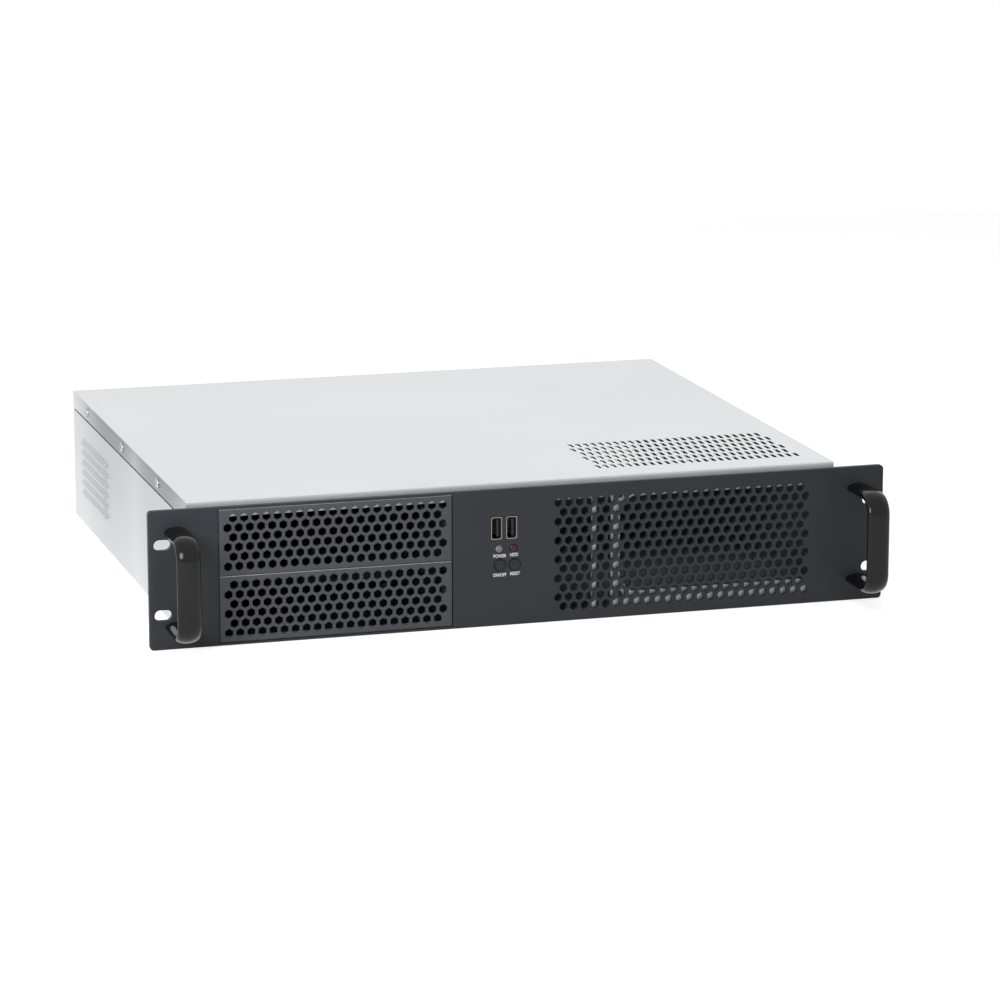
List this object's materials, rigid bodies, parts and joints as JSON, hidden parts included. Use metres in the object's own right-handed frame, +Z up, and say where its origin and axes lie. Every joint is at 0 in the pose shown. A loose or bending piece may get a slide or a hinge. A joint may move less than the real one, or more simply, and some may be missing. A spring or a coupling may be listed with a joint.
{
  "type": "empty rackmount server case",
  "caption": "Short rackmount server case, empty: black perforated front with U handles and bay covers, zinc plated tray, slotted lid, rear wall with slot blanks, fan and inlet.",
  "frame": {"origin": "middle of the bounding box at the underside of the floor", "axes": "+X to the right seen from the front, +Y towards the rear, +Z up"},
  "size_m": [0.4826, 0.4314, 0.0886],
  "materials": {
    "panel_paint": "satin black powder coat",
    "cover_paint": "satin black powder coat",
    "handle_paint": "satin black enamel",
    "frame_zinc": "zinc plated sheet",
    "tray_zinc": "zinc plated sheet",
    "lid_zinc": "zinc plated sheet",
    "rear_zinc": "zinc plated sheet",
    "cage_zinc": "zinc plated sheet",
    "blank_zinc": "zinc plated sheet",
    "fan_black": "moulded",
    "rotor_black": "moulded",
    "inlet_black": "moulded",
    "tongue_black": "moulded",
    "switch_black": "moulded",
    "button_grey": "moulded",
    "board_green": "circuit board",
    "pin_brass": "nickel plated",
    "post_brass": "turned",
    "port_nickel": "nickel plated shell",
    "lens_clear": "clear lens",
    "lens_red": "tinted lens",
    "screw_zinc": "zinc plated",
    "screw_black": "black oxide"
  },
  "bodies": {
    "case": {"front_panel": "panel_paint", "handle_left": "handle_paint", "handle_right": "handle_paint", "bay_cover_lower": "cover_paint", "bay_cover_upper": "cover_paint", "front_frame": "frame_zinc", "base_tray": "tray_zinc", "top_cover": "lid_zinc", "rear_panel": "rear_zinc", "drive_cage": "cage_zinc", "slot_cover_1": "blank_zinc", "slot_cover_2": "blank_zinc", "slot_cover_3": "blank_zinc", "slot_cover_4": "blank_zinc", "slot_cover_5": "blank_zinc", "slot_cover_6": "blank_zinc", "slot_cover_7": "blank_zinc", "slot_rail": "blank_zinc", "fan_frame": "fan_black", "ac_inlet": "inlet_black", "ac_inlet_pins": "pin_brass", "motherboard_standoffs": "post_brass", "usb_port_left": "port_nickel", "usb_port_right": "port_nickel", "usb_tongue_left": "tongue_black", "usb_tongue_right": "tongue_black", "power_led": "lens_clear", "disk_led": "lens_red", "power_switch": "switch_black", "reset_switch": "switch_black", "io_board": "board_green", "io_board_posts": "post_brass", "io_board_screws": "screw_zinc", "handle_screws": "screw_zinc", "panel_screws": "screw_zinc", "cage_screws": "screw_zinc", "cover_screws": "screw_zinc", "slot_screws": "screw_zinc", "fan_screws": "screw_black", "inlet_screws": "screw_black"},
    "rotor": {"fan_rotor": "rotor_black"},
    "power": {"power_button": "button_grey"},
    "reset": {"reset_button": "button_grey"}
  },
  "joints": [
    {"name": "fan_spin", "type": "hinge", "parent": "case", "child": "rotor", "pos_m": [-0.147, 0.20035, 0.042], "axis": [0, 1, 0], "continuous": true},
    {"name": "power_press", "type": "slide", "parent": "case", "child": "power", "axis": [0, 1, 0], "range_m": [0, 0.001], "stiffness_N_per_m": 400},
    {"name": "reset_press", "type": "slide", "parent": "case", "child": "reset", "axis": [0, 1, 0], "range_m": [0, 0.001], "stiffness_N_per_m": 400}
  ]
}
